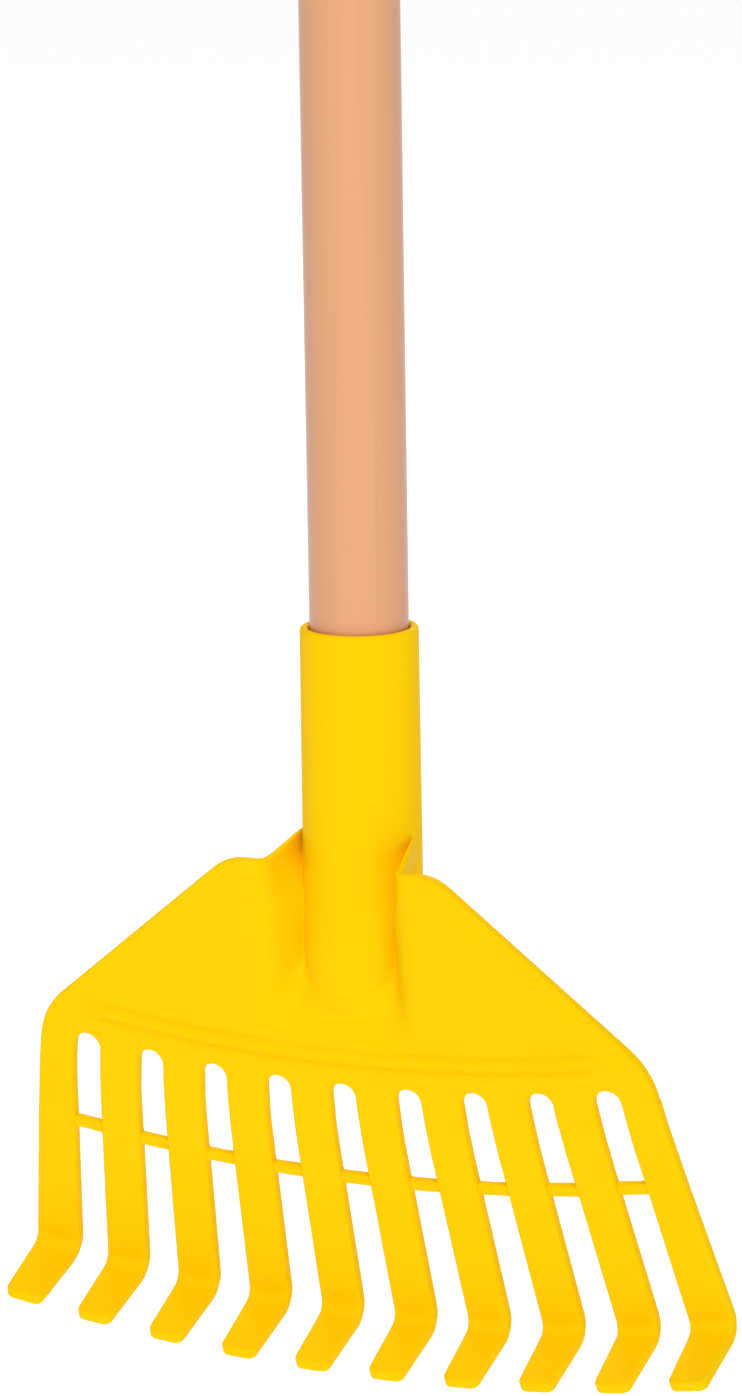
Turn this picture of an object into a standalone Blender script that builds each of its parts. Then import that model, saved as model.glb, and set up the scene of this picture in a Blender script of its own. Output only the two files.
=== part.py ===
# Kids rake: a moulded plastic rake head on a wooden handle, held by one screw.
#
# Metres, +Z up. The origin is the centre of the handle's flat top end and the handle runs straight
# down from it. The tines lean back and hook forward, and the front of the rake faces -Y.

import math

import bmesh
import bpy
from mathutils import Vector

MM = 0.001

# Handle, a round wooden dowel
HANDLE_DIAMETER = 24.0 * MM
HANDLE_LENGTH = 600.0 * MM
HANDLE_TOP_ROUND = 3.0 * MM
HANDLE_FOOT_CHAMFER = 1.5 * MM

# Socket, the tube of the head that takes the handle
CLEARANCE = 0.3 * MM
SOCKET_WALL = 2.1 * MM
SOCKET_DEPTH = 86.0 * MM
SOCKET_FLOOR = 6.0 * MM
SOCKET_END_ROUND = 7.0 * MM
SOCKET_LIP_ROUND = 0.8 * MM

# Plate, the flat sheet between the socket and the tines
SHEET_THICKNESS = 3.0 * MM
PLATE_TOP_DROP = 55.4 * MM
PLATE_FORWARD = 20.6 * MM
PLATE_LEAN = math.radians(4.8)
PLATE_TOP_WIDTH = 55.0 * MM
PLATE_SIDE_ANGLE = math.radians(50.6)
PLATE_CORNER_ROUND = 13.0 * MM
SHOULDER_ROUND = 18.0 * MM
PLATE_HEIGHT = 56.4 * MM

# Raised bead that follows the bend between the plate and the tines
BEAD_ABOVE_BEND = 8.1 * MM
BEAD_WIDTH = 3.8 * MM
BEAD_HEIGHT = 0.8 * MM
BEAD_FADE_START = 0.78
BEAD_FADE_END = 0.89

# Channel in the plate around the socket, with its folded side walls
CHANNEL_WIDTH = 34.6 * MM
CHANNEL_FLOOR_WIDTH = 26.0 * MM
CHANNEL_FLOOR_FORWARD = 2.0 * MM
CHANNEL_LENGTH = 27.0 * MM
CHANNEL_END = 11.0 * MM
CHANNEL_RAMP = 2.6
CHANNEL_FOLD_ROUND = 3.6 * MM
CHANNEL_WALL = 2.3 * MM
CHANNEL_WALL_RISE = 4.0 * MM
CHANNEL_WALL_ROOT = 0.6  # share of the sheet's thickness where the walls start
CHANNEL_WALL_TOP_GAP = 0.2 * MM
CHANNEL_CUT_ABOVE = 16.0 * MM

# Tines, fanned about a point far above the bend
TINE_COUNT = 10
TINE_WIDTH = 10.6 * MM
TINE_LENGTH = 67.0 * MM
TINE_LEAN = math.radians(18.1)
FAN_RADIUS = 418.0 * MM
FAN_STEP = math.radians(2.37)
SLOT_RISE = 1.0 * MM
KNEE_ROUND = 2.0 * MM
TIP_BEND = math.radians(86.8)
TIP_LENGTH = 20.6 * MM
TIP_WIDTH = 9.0 * MM
TIP_CORNER = 1.0 * MM

# Cross bar that ties the tines together
BAR_BELOW_BEND = 27.2 * MM
BAR_HEIGHT = 3.2 * MM
BAR_THICKNESS = 2.0 * MM
BAR_SETBACK = 0.8 * MM

# Retaining screw through the back of the socket
SCREW_DROP = 26.0 * MM
SCREW_HEAD_DIAMETER = 8.0 * MM
SCREW_HEAD_HEIGHT = 2.6 * MM
SCREW_DOME = 0.6  # share of the head's height that is domed
SCREW_THREAD_DIAMETER = 4.0 * MM
SCREW_CORE_DIAMETER = 2.8 * MM
SCREW_PITCH = 1.8 * MM
THREAD_START = 0.4  # shares of the pitch: the first ring's start and each flank of a ring
THREAD_FLANK = 0.3
SCREW_LENGTH = 14.0 * MM
SCREW_RECESS_WIDTH = 1.0 * MM
SCREW_RECESS_SPAN = 4.6 * MM
SCREW_RECESS_DEPTH = 1.6 * MM
BOSS_MARGIN = 1.5 * MM
BOSS_HEIGHT = 1.8 * MM

# Finishes: colour, roughness and metallic
PLASTIC_FINISH = ((1.0, 0.63, 0.0), 0.42, 0.0)
WOOD_FINISH = ((0.84, 0.43, 0.22), 0.45, 0.0)
ZINC_FINISH = ((0.62, 0.62, 0.64), 0.35, 1.0)

# Fineness of round shapes
ROUND_STEPS = 64
SMALL_ROUND_STEPS = 24
ARC_STEPS = 4
SLOT_COLUMNS = 6
TINE_COLUMNS = 2
PLATE_ROWS = 5
EDGE_MERGE = 0.01 * MM
SMOOTH_ANGLE = math.radians(35)

# Sizes that follow from the ones above
HANDLE_RADIUS = HANDLE_DIAMETER / 2
BORE_RADIUS = HANDLE_RADIUS + CLEARANCE
SOCKET_RADIUS = BORE_RADIUS + SOCKET_WALL
SOCKET_LENGTH = SOCKET_DEPTH + SOCKET_FLOOR
MOUTH_Z = -(HANDLE_LENGTH - (SOCKET_DEPTH - CLEARANCE))
BEND_Z = -(PLATE_TOP_DROP + PLATE_HEIGHT * math.cos(PLATE_LEAN))
BEND_Y = -PLATE_FORWARD + PLATE_HEIGHT * math.sin(PLATE_LEAN)
OUTER_ANGLE = (TINE_COUNT - 1) / 2 * FAN_STEP
SLOT_RADIUS = FAN_RADIUS * math.sin(FAN_STEP / 2) - TINE_WIDTH / 2
SLOT_START = SLOT_RADIUS - SLOT_RISE
BOSS_FACE_Y = SOCKET_RADIUS + BOSS_HEIGHT
BOSS_RADIUS = SCREW_HEAD_DIAMETER / 2 + BOSS_MARGIN

PLATE_UP = Vector((0, -math.sin(PLATE_LEAN), math.cos(PLATE_LEAN)))
PLATE_FRONT = Vector((0, -math.cos(PLATE_LEAN), -math.sin(PLATE_LEAN)))
TINE_FRONT = Vector((0, -math.cos(TINE_LEAN), -math.sin(TINE_LEAN)))


def clear_scene():
    for obj in list(bpy.data.objects):
        bpy.data.objects.remove(obj, do_unlink=True)


def new_collection(name):
    collection = bpy.data.collections.new(name)
    bpy.context.scene.collection.children.link(collection)
    return collection


def plain_material(name, finish):
    colour, roughness, metallic = finish
    material = bpy.data.materials.new(name)
    material.use_nodes = True
    shader = material.node_tree.nodes["Principled BSDF"]
    shader.inputs["Base Color"].default_value = (*colour, 1.0)
    shader.inputs["Roughness"].default_value = roughness
    shader.inputs["Metallic"].default_value = metallic
    return material


def add_object(name, mesh, collection, parent=None):
    obj = bpy.data.objects.new(name, mesh)
    collection.objects.link(obj)
    obj.parent = parent
    return obj


def make_helper(obj):
    obj.hide_render = True
    obj.display_type = "WIRE"
    return obj


def mesh_of(name, bm):
    mesh = bpy.data.meshes.new(name)
    bm.to_mesh(mesh)
    bm.free()
    return mesh


def smooth(obj):
    obj.data.shade_smooth()
    obj.data.set_sharp_from_angle(angle=SMOOTH_ANGLE)


def quarter_round(centre, radius, start, end, steps):
    """Points of an arc in the (across, height) plane of a turned profile."""
    angles = [start + (end - start) * step / steps for step in range(steps + 1)]
    return [(centre[0] + radius * math.cos(a), centre[1] + radius * math.sin(a)) for a in angles]


def turned(name, profile, collection, parent=None, steps=ROUND_STEPS):
    """A profile of (radius, height) pairs, top to bottom, turned about Z."""
    bm = bmesh.new()
    points = [bm.verts.new((radius, 0, height)) for radius, height in profile]
    for first, second in zip(points, points[1:]):
        bm.edges.new((first, second))
    obj = add_object(name, mesh_of(name, bm), collection, parent)
    screw = obj.modifiers.new("Turn", "SCREW")
    screw.steps = steps
    screw.render_steps = steps
    screw.use_merge_vertices = True
    screw.merge_threshold = EDGE_MERGE
    screw.use_smooth_shade = True
    return obj


def cut_or_join(obj, name, operation, other):
    boolean = obj.modifiers.new(name, "BOOLEAN")
    boolean.operation = operation
    boolean.solver = "EXACT"
    boolean.object = other


def mapped_grid(name, columns, rows, keep, place):
    """A grid whose cells are kept by keep(column, row) and whose points are set by place(column, row)."""
    bm = bmesh.new()
    bmesh.ops.create_grid(bm, x_segments=columns, y_segments=rows, size=1)
    spot = {}
    for vert in bm.verts:
        column = round((vert.co.x + 1) / 2 * columns)
        row = round((1 - vert.co.y) / 2 * rows)
        spot[vert] = (column, row)
    dropped = []
    for face in bm.faces:
        corners = [spot[vert] for vert in face.verts]
        if not keep(min(c[0] for c in corners), min(c[1] for c in corners)):
            dropped.append(face)
    bmesh.ops.delete(bm, geom=dropped, context="FACES")
    for vert in bm.verts:
        vert.co = place(*spot[vert])
    return mesh_of(name, bm)


def plate_point(across, up):
    """A point of the plate's front face, measured from the middle of the bend."""
    return Vector((across, BEND_Y, BEND_Z)) + up * PLATE_UP


def tine_axes(angle):
    along = Vector((
        math.sin(angle),
        math.cos(angle) * math.sin(TINE_LEAN),
        -math.cos(angle) * math.cos(TINE_LEAN),
    ))
    side = Vector((
        math.cos(angle),
        -math.sin(angle) * math.sin(TINE_LEAN),
        math.sin(angle) * math.cos(TINE_LEAN),
    ))
    return along, side


def fan_plan(angle, offset, drop):
    """Plan position (across, up) of a spot beside a fan line, at a drop below the bend."""
    reach = FAN_RADIUS + drop
    across = reach * math.sin(angle) + offset * math.cos(angle)
    up = FAN_RADIUS - reach * math.cos(angle) + offset * math.sin(angle)
    return across, up


def front_point(angle, offset, drop):
    """The same spot on the front face: on the plate above the bend, on a leaning tine below it."""
    if drop < 0:
        return plate_point(*fan_plan(angle, offset, drop))
    along, side = tine_axes(angle)
    return plate_point(*fan_plan(angle, 0, 0)) + drop * along + offset * side


def rounded_corner(before, corner, after, radius, steps):
    """Points of the arc of this radius that rounds a corner of the outline."""
    back = (before - corner).normalized()
    ahead = (after - corner).normalized()
    half = back.angle(ahead) / 2
    length = radius / math.tan(half)
    centre = corner + (back + ahead).normalized() * (radius / math.sin(half))
    first = corner + back * length - centre
    last = corner + ahead * length - centre
    turn = first.angle_signed(last)
    points = []
    for step in range(steps + 1):
        angle = -turn * step / steps
        cos, sin = math.cos(angle), math.sin(angle)
        points.append(centre + Vector((first.x * cos - first.y * sin, first.x * sin + first.y * cos)))
    return points


def plate_outline():
    """Right half of the plate's outline, from the flat top edge to the outer tine, as plan points."""
    top = Vector((PLATE_TOP_WIDTH / 2, PLATE_HEIGHT))
    slope = Vector((math.sin(PLATE_SIDE_ANGLE), -math.cos(PLATE_SIDE_ANGLE)))
    edge = Vector(fan_plan(OUTER_ANGLE, TINE_WIDTH / 2, 0))
    edge_way = Vector((math.sin(OUTER_ANGLE), -math.cos(OUTER_ANGLE)))
    gap = edge - top
    reach = (gap.x * edge_way.y - gap.y * edge_way.x) / (slope.x * edge_way.y - slope.y * edge_way.x)
    shoulder = top + slope * reach
    corner_arc = rounded_corner(Vector((0, PLATE_HEIGHT)), top, shoulder, PLATE_CORNER_ROUND, ARC_STEPS)
    lower = shoulder + edge_way * TINE_LENGTH
    shoulder_arc = rounded_corner(top, shoulder, lower, SHOULDER_ROUND, 2 * ARC_STEPS)
    return corner_arc, shoulder_arc, lower


def level_of(point):
    """Drop of a plan point below the bend's arc, negative above it."""
    return math.hypot(point.x, FAN_RADIUS - point.y) - FAN_RADIUS


def outline_at(outline, drop):
    """Where the outline crosses the arc at this drop below the bend."""
    for first, second in zip(outline, outline[1:]):
        low, high = level_of(first), level_of(second)
        if low <= drop <= high:
            return first.lerp(second, (drop - low) / (high - low))
    raise ValueError("the outline doesn't reach this level")


def tine_path():
    """Rows of a tine below its slot: (way down, way forward, share of the width)."""
    half_knee = KNEE_ROUND * math.tan(TIP_BEND / 2)
    knee = TINE_LENGTH - half_knee
    rows = []
    for step in range(ARC_STEPS + 1):
        turn = TIP_BEND * step / ARC_STEPS
        rows.append((knee + KNEE_ROUND * math.sin(turn), KNEE_ROUND * (1 - math.cos(turn)), 1.0))
    down, ahead, _ = rows[-1]
    straight = TIP_LENGTH - half_knee
    for run, width in ((straight - TIP_CORNER, TIP_WIDTH), (straight, TIP_WIDTH - 2 * TIP_CORNER)):
        rows.append((down + run * math.cos(TIP_BEND), ahead + run * math.sin(TIP_BEND), width / TINE_WIDTH))
    return rows


def tine_angle(index):
    return index * FAN_STEP - OUTER_ANGLE


def sheet_columns():
    """Columns across the head: (angle, offset, rise of the slot end), with None for a tine."""
    columns = []
    for index in range(TINE_COUNT):
        for step in range(TINE_COLUMNS + 1):
            columns.append((tine_angle(index), (step / TINE_COLUMNS - 0.5) * TINE_WIDTH, None))
        if index == TINE_COUNT - 1:
            break
        slot_angle = tine_angle(index) + FAN_STEP / 2
        for step in range(1, SLOT_COLUMNS):
            turn = math.pi * step / SLOT_COLUMNS
            columns.append((slot_angle, -SLOT_RADIUS * math.cos(turn), SLOT_RADIUS * math.sin(turn)))
    return columns


def plate_rows():
    """Rows of the plate from its top edge to the slots: (edge across, edge up, middle up, lift)."""
    corner_arc, shoulder_arc, lower = plate_outline()
    outline = corner_arc + shoulder_arc + [lower]
    bead_top = -BEAD_ABOVE_BEND - BEAD_WIDTH / 2
    last = outline_at(outline, bead_top)
    edges = list(corner_arc)
    edges += [corner_arc[-1].lerp(last, step / PLATE_ROWS) for step in range(1, PLATE_ROWS)]
    rows = []
    for edge in edges:
        share = (PLATE_HEIGHT - edge.y) / (PLATE_HEIGHT - last.y)
        rows.append((edge.x, edge.y, PLATE_HEIGHT + share * (-bead_top - PLATE_HEIGHT), 0.0))
    for step, lift in enumerate((0.0, BEAD_HEIGHT, 0.0)):
        drop = bead_top + step * BEAD_WIDTH / 2
        edge = outline_at(outline, drop)
        rows.append((edge.x, edge.y, -drop, lift))
    above_slots = -SLOT_RISE - BEAD_WIDTH / 4
    edge = outline_at(outline, above_slots)
    rows.append((edge.x, edge.y, -above_slots, 0.0))
    return rows


def head_sheet():
    """Front face of the plate and the tines, one grid with the slots left out."""
    columns = sheet_columns()
    upper = plate_rows()
    lower = tine_path()
    slot_row = len(upper)
    widest = fan_plan(OUTER_ANGLE, TINE_WIDTH / 2, 0)[0]

    def keep(column, row):
        beside_slot = columns[column][2] is not None or columns[column + 1][2] is not None
        return row < slot_row or not beside_slot

    def place(column, row):
        angle, offset, slot_rise = columns[column]
        if row < slot_row:
            edge_across, edge_up, middle_up, lift = upper[row]
            share = fan_plan(angle, offset, 0)[0] / widest
            fade = (BEAD_FADE_END - abs(share)) / (BEAD_FADE_END - BEAD_FADE_START)
            fade = min(max(fade, 0.0), 1.0)
            point = plate_point(share * edge_across, middle_up + (edge_up - middle_up) * share ** 2)
            return point + lift * fade * PLATE_FRONT
        if row == slot_row:
            return front_point(angle, offset, SLOT_START - (slot_rise or 0.0))
        down, ahead, width = lower[row - slot_row - 1]
        return front_point(angle, offset * width, down) + ahead * TINE_FRONT

    return mapped_grid("rake_head", len(columns) - 1, slot_row + len(lower), keep, place)


def cross_bar_strip():
    """Front face of the cross bar, from the first tine to the last."""
    steps = 2 * (TINE_COUNT - 1)

    def place(column, row):
        angle = (2 * column / steps - 1) * OUTER_ANGLE
        drop = BAR_BELOW_BEND + (row - 0.5) * BAR_HEIGHT
        return front_point(angle, 0, drop) - BAR_SETBACK * TINE_FRONT

    return mapped_grid("cross_bar", steps, 1, lambda column, row: True, place)


def channel_body(name, sections):
    """A closed body lofted through U-shaped sections: (depth, half width, end depth, top height)."""
    turn_steps = 4 * ARC_STEPS
    loop = turn_steps + 3  # both top corners, the round end, and the first corner again
    arms_end = PLATE_HEIGHT - CHANNEL_LENGTH

    def place(column, row):
        depth, half, end, top = sections[row]
        if column in (0, 1, loop):
            across, up = (half if column == 1 else -half), top
        else:
            turn = math.pi * (column - 2) / turn_steps
            across, up = half * math.cos(turn), arms_end - end * math.sin(turn)
        return plate_point(across, up) - depth * PLATE_FRONT

    mesh = mapped_grid(name, loop, len(sections) - 1, lambda column, row: True, place)
    bm = bmesh.new()
    bm.from_mesh(mesh)
    bmesh.ops.remove_doubles(bm, verts=bm.verts, dist=EDGE_MERGE)
    bmesh.ops.holes_fill(bm, edges=[edge for edge in bm.edges if edge.is_boundary])
    bmesh.ops.recalc_face_normals(bm, faces=bm.faces)
    bm.to_mesh(mesh)
    bm.free()
    return mesh


def channel_section(depth):
    """Half width and end depth of the channel at a depth behind the plate's front."""
    floor_depth = PLATE_FORWARD - CHANNEL_FLOOR_FORWARD
    share = depth / floor_depth
    half = (CHANNEL_WIDTH + (CHANNEL_FLOOR_WIDTH - CHANNEL_WIDTH) * share) / 2
    end = max(CHANNEL_END - CHANNEL_RAMP * max(0.0, depth), SHEET_THICKNESS / 2)
    return half, end


def channel_cut_mesh():
    """The hollow of the channel, flared at the front so that the plate folds into it."""
    floor_depth = PLATE_FORWARD - CHANNEL_FLOOR_FORWARD
    open_top = PLATE_HEIGHT + CHANNEL_CUT_ABOVE
    sections = []
    for step in range(ARC_STEPS + 1):
        turn = math.pi / 2 * step / ARC_STEPS
        depth = CHANNEL_FOLD_ROUND * (1 - math.cos(turn)) - CLEARANCE
        flare = CHANNEL_FOLD_ROUND * (1 - math.sin(turn))
        half, end = channel_section(depth)
        sections.append((depth, half + flare, end, open_top))
    depth, half, end, top = sections[0]
    sections.insert(0, (depth - SHEET_THICKNESS, half, end, top))
    half, end = channel_section(floor_depth)
    sections.append((floor_depth, half, end, open_top))
    return channel_body("channel_cut", sections)


def channel_wall_mesh():
    """The folded walls before they are hollowed, from inside the plate back to the socket's side."""
    floor_depth = PLATE_FORWARD - CHANNEL_FLOOR_FORWARD + CHANNEL_WALL
    start = SHEET_THICKNESS * CHANNEL_WALL_ROOT
    sections = []
    for depth, rise in ((start, 0.0), (floor_depth, CHANNEL_WALL_RISE)):
        half, end = channel_section(depth)
        top = PLATE_HEIGHT - CHANNEL_WALL_TOP_GAP + rise
        sections.append((depth, half + CHANNEL_WALL, end + CHANNEL_WALL, top))
    return channel_body("channel_wall", sections)


def socket_profile():
    lip = quarter_round(
        (SOCKET_RADIUS - SOCKET_LIP_ROUND, -SOCKET_LIP_ROUND), SOCKET_LIP_ROUND, math.pi / 2, 0, ARC_STEPS
    )
    end = quarter_round(
        (SOCKET_RADIUS - SOCKET_END_ROUND, -SOCKET_LENGTH + SOCKET_END_ROUND),
        SOCKET_END_ROUND,
        0,
        -math.pi / 2,
        ARC_STEPS,
    )
    return [(0, 0)] + lip + end + [(0, -SOCKET_LENGTH)]


def bore_profile():
    mouth = BORE_RADIUS + SOCKET_LIP_ROUND
    return [
        (0, SOCKET_LIP_ROUND),
        (mouth + SOCKET_LIP_ROUND, SOCKET_LIP_ROUND),
        (BORE_RADIUS, -SOCKET_LIP_ROUND),
        (BORE_RADIUS, -SOCKET_DEPTH),
        (0, -SOCKET_DEPTH),
    ]


def handle_profile():
    top = quarter_round(
        (HANDLE_RADIUS - HANDLE_TOP_ROUND, -HANDLE_TOP_ROUND), HANDLE_TOP_ROUND, math.pi / 2, 0, ARC_STEPS
    )
    return [(0, 0)] + top + [
        (HANDLE_RADIUS, -HANDLE_LENGTH + HANDLE_FOOT_CHAMFER),
        (HANDLE_RADIUS - HANDLE_FOOT_CHAMFER, -HANDLE_LENGTH),
        (0, -HANDLE_LENGTH),
    ]


def screw_profile():
    """Domed head, then a thread drawn as rings, then a point."""
    head = SCREW_HEAD_DIAMETER / 2
    crest = SCREW_THREAD_DIAMETER / 2
    core = SCREW_CORE_DIAMETER / 2
    dome = SCREW_HEAD_HEIGHT * SCREW_DOME
    flank = SCREW_PITCH * THREAD_FLANK
    points = [(0, SCREW_HEAD_HEIGHT)]
    for step in range(1, ARC_STEPS + 1):
        turn = math.pi / 2 * step / ARC_STEPS
        points.append((head * math.sin(turn), SCREW_HEAD_HEIGHT - dome + dome * math.cos(turn)))
    points += [(head, 0), (core, 0)]
    turns = max(1, int((SCREW_LENGTH - SCREW_THREAD_DIAMETER) / SCREW_PITCH))
    for turn in range(turns):
        top = -(turn + THREAD_START) * SCREW_PITCH
        points += [(core, top), (crest, top - flank), (core, top - 2 * flank)]
    return points + [(core, -SCREW_LENGTH + SCREW_THREAD_DIAMETER / 2), (0, -SCREW_LENGTH)]


def drill(name, radius, start, end, collection, parent):
    """A cylinder along Y, between two distances behind the handle's axis."""
    bm = bmesh.new()
    bmesh.ops.create_cone(
        bm, cap_ends=True, segments=SMALL_ROUND_STEPS, radius1=radius, radius2=radius, depth=end - start
    )
    obj = add_object(name, mesh_of(name, bm), collection, parent)
    obj.location = (0, (start + end) / 2, -SCREW_DROP)
    obj.rotation_euler = (-math.pi / 2, 0, 0)
    return make_helper(obj)


def recess_blade(name, turn, collection, parent):
    bm = bmesh.new()
    bmesh.ops.create_cube(bm, size=1)
    size = Vector((SCREW_RECESS_SPAN, SCREW_RECESS_WIDTH, 2 * SCREW_RECESS_DEPTH))
    bmesh.ops.scale(bm, vec=size, verts=bm.verts)
    obj = add_object(name, mesh_of(name, bm), collection, parent)
    obj.location = (0, 0, SCREW_HEAD_HEIGHT)
    obj.rotation_euler = (0, 0, turn)
    return make_helper(obj)


def make_head(parts, cutters, frame):
    head = add_object("rake_head", head_sheet(), parts, frame)
    sheet = head.modifiers.new("Sheet", "SOLIDIFY")
    sheet.thickness = SHEET_THICKNESS
    sheet.offset = -1
    sheet.use_even_offset = True

    wall = make_helper(add_object("channel_wall", channel_wall_mesh(), cutters, frame))
    hollow = make_helper(add_object("channel_cut", channel_cut_mesh(), cutters, frame))
    socket = make_helper(turned("socket_blank", socket_profile(), cutters, frame))
    boss = drill("screw_boss", BOSS_RADIUS, BORE_RADIUS, BOSS_FACE_Y, cutters, frame)
    bar = make_helper(add_object("cross_bar", cross_bar_strip(), cutters, frame))
    bar_sheet = bar.modifiers.new("Sheet", "SOLIDIFY")
    bar_sheet.thickness = BAR_THICKNESS
    bar_sheet.offset = -1
    bore = make_helper(turned("handle_bore", bore_profile(), cutters, frame))

    cut_or_join(head, "Channel walls", "UNION", wall)
    cut_or_join(head, "Channel hollow", "DIFFERENCE", hollow)
    cut_or_join(head, "Socket", "UNION", socket)
    cut_or_join(head, "Screw boss", "UNION", boss)
    cut_or_join(head, "Cross bar", "UNION", bar)
    cut_or_join(head, "Handle bore", "DIFFERENCE", bore)
    head.data.materials.append(plain_material("yellow_plastic", PLASTIC_FINISH))
    smooth(head)
    return head


def make_screw(parts, cutters, frame):
    screw = turned("retaining_screw", screw_profile(), parts, frame, SMALL_ROUND_STEPS)
    screw.location = (0, BOSS_FACE_Y + CLEARANCE, -SCREW_DROP)
    screw.rotation_euler = (-math.pi / 2, 0, 0)
    for name, turn in (("recess_blade_a", 0), ("recess_blade_b", math.pi / 2)):
        cut_or_join(screw, name, "DIFFERENCE", recess_blade(name, turn, cutters, screw))
    screw.data.materials.append(plain_material("zinc_steel", ZINC_FINISH))
    return screw


def make_handle(parts):
    handle = turned("handle", handle_profile(), parts)
    handle.data.materials.append(plain_material("varnished_wood", WOOD_FINISH))
    return handle


def main():
    clear_scene()
    parts = new_collection("kids_rake")
    cutters = new_collection("cutters")
    frame = bpy.data.objects.new("socket_mouth", None)
    parts.objects.link(frame)
    frame.location = (0, 0, MOUTH_Z)

    handle = make_handle(parts)
    head = make_head(parts, cutters, frame)
    make_screw(parts, cutters, frame)

    tip_y = BOSS_FACE_Y - SCREW_LENGTH
    hole_radius = SCREW_THREAD_DIAMETER / 2 + CLEARANCE
    hole = drill("screw_hole", hole_radius, tip_y - CLEARANCE, BOSS_FACE_Y + BOSS_HEIGHT, cutters, frame)
    cut_or_join(head, "Screw hole", "DIFFERENCE", hole)
    cut_or_join(handle, "Screw hole", "DIFFERENCE", hole)


main()
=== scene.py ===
import math

import bmesh
import bpy
import numpy as np
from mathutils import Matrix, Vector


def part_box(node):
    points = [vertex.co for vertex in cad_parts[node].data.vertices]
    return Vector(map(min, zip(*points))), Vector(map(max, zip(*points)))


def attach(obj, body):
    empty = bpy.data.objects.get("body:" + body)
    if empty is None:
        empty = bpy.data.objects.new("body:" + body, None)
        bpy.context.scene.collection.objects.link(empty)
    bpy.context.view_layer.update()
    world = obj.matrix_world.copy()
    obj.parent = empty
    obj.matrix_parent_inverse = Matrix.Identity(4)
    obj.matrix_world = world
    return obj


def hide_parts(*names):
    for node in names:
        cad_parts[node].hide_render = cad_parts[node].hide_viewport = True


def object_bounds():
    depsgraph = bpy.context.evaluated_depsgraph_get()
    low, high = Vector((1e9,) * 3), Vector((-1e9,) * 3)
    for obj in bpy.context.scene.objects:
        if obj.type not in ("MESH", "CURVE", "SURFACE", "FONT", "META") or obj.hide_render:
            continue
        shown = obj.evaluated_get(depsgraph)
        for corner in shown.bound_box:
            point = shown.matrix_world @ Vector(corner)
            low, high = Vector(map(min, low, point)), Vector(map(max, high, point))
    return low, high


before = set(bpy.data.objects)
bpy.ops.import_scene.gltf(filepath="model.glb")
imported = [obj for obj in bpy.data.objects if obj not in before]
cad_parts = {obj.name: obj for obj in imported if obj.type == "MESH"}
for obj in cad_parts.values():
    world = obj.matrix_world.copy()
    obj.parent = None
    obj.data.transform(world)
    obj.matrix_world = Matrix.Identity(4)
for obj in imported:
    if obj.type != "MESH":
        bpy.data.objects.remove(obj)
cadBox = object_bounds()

import openvdb
from mathutils import Matrix, Vector

mm = 0.001
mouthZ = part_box("rake_head")[1].z  # height of the socket's mouth, where the head's own sizes start
print("frame loaded, socket mouth at", round(mouthZ, 4))


def addObject(name, data):
    thing = bpy.data.objects.new(name, data)
    bpy.context.scene.collection.objects.link(thing)
    return thing


def towards(azimuth, elevation):  # unit vector at these degrees, azimuth 0 is in front of the rake
    turn, lift = math.radians(azimuth), math.radians(elevation)
    return Vector((
        math.sin(turn) * math.cos(lift), -math.cos(turn) * math.cos(lift), math.sin(lift)
    ))


# camera, set as the photo was taken: sizes in mm from the socket's mouth
cameraSet = {
    "azimuth": 25.0,
    "elevation": 11.93,
    "roll": -0.0154,
    "distance": 1284.5,
    "aside": -2.8575,
    "above": 17.451,
    "focalPixels": 5337.2,
    "longSidePixels": 1396,
    "sensor": 36.0,
    "clip": (0.05, 60.0),  # in metres
}


def addCamera():
    turn, roll = math.radians(cameraSet["azimuth"]), cameraSet["roll"]
    right = Vector((math.cos(turn), math.sin(turn), 0))
    back = towards(cameraSet["azimuth"], cameraSet["elevation"])
    up = back.cross(right)
    right, up = (
        math.cos(roll) * right + math.sin(roll) * up,
        math.cos(roll) * up - math.sin(roll) * right,
    )
    spot = -cameraSet["aside"] * right - cameraSet["above"] * up + cameraSet["distance"] * back
    data = bpy.data.cameras.new("photoCamera")
    data.sensor_width = cameraSet["sensor"]
    data.lens = cameraSet["focalPixels"] / cameraSet["longSidePixels"] * cameraSet["sensor"]
    data.clip_start, data.clip_end = cameraSet["clip"]
    camera = addObject("photoCamera", data)
    turned = Matrix((right, up, back)).transposed().to_4x4()
    camera.matrix_world = Matrix.Translation(spot * mm + Vector((0, 0, mouthZ))) @ turned
    bpy.context.scene.camera = camera


addCamera()
print("camera placed")


# shader helpers: a socket that takes part in sums, and a finish that adds nodes
class Wire:
    def __init__(self, finish, socket):
        self.finish = finish
        self.socket = socket

    def combine(self, operation, first, second):
        return self.finish.add("ShaderNodeMath", {"operation": operation}, {0: first, 1: second})

    def __add__(self, other):
        return self.combine("ADD", self, other)

    def __radd__(self, other):
        return self.combine("ADD", other, self)

    def __sub__(self, other):
        return self.combine("SUBTRACT", self, other)

    def __rsub__(self, other):
        return self.combine("SUBTRACT", other, self)

    def __mul__(self, other):
        return self.combine("MULTIPLY", self, other)

    def __rmul__(self, other):
        return self.combine("MULTIPLY", other, self)


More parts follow.
